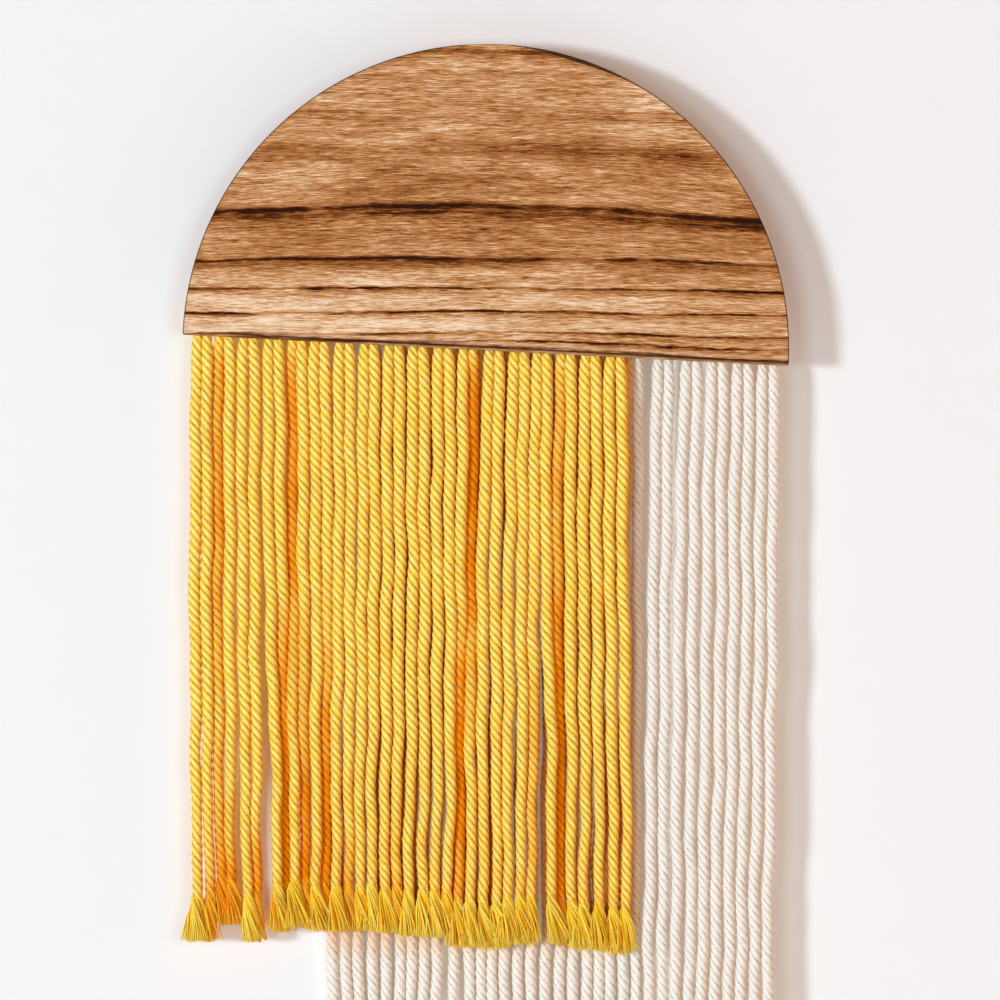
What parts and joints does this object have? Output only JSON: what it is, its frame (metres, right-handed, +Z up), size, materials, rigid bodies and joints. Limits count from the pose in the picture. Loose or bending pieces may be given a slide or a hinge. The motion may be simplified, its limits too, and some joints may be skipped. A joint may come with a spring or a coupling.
{
  "type": "half-round wooden plaque with cord fringe wall hanging",
  "caption": "Half-round wooden plaque with a short front tier and a long rear tier of twisted cotton cord fringe, hung on a wall as decoration.",
  "frame": {"origin": "hanging point on the flat back of the plaque, on its centre line", "axes": "+Z up, +Y out of the plaque's back towards the wall, +X to the right seen from the front"},
  "size_m": [0.2808, 0.0207, 0.5995],
  "materials": {
    "toasted_wood": "oiled, lightly toasted, satin",
    "yellow_cotton": "matte twisted cotton",
    "cream_cotton": "matte twisted cotton"
  },
  "bodies": {
    "root": {"board": "toasted_wood", "yellow_fringe": "yellow_cotton", "cream_fringe": "cream_cotton"}
  },
  "joints": []
}
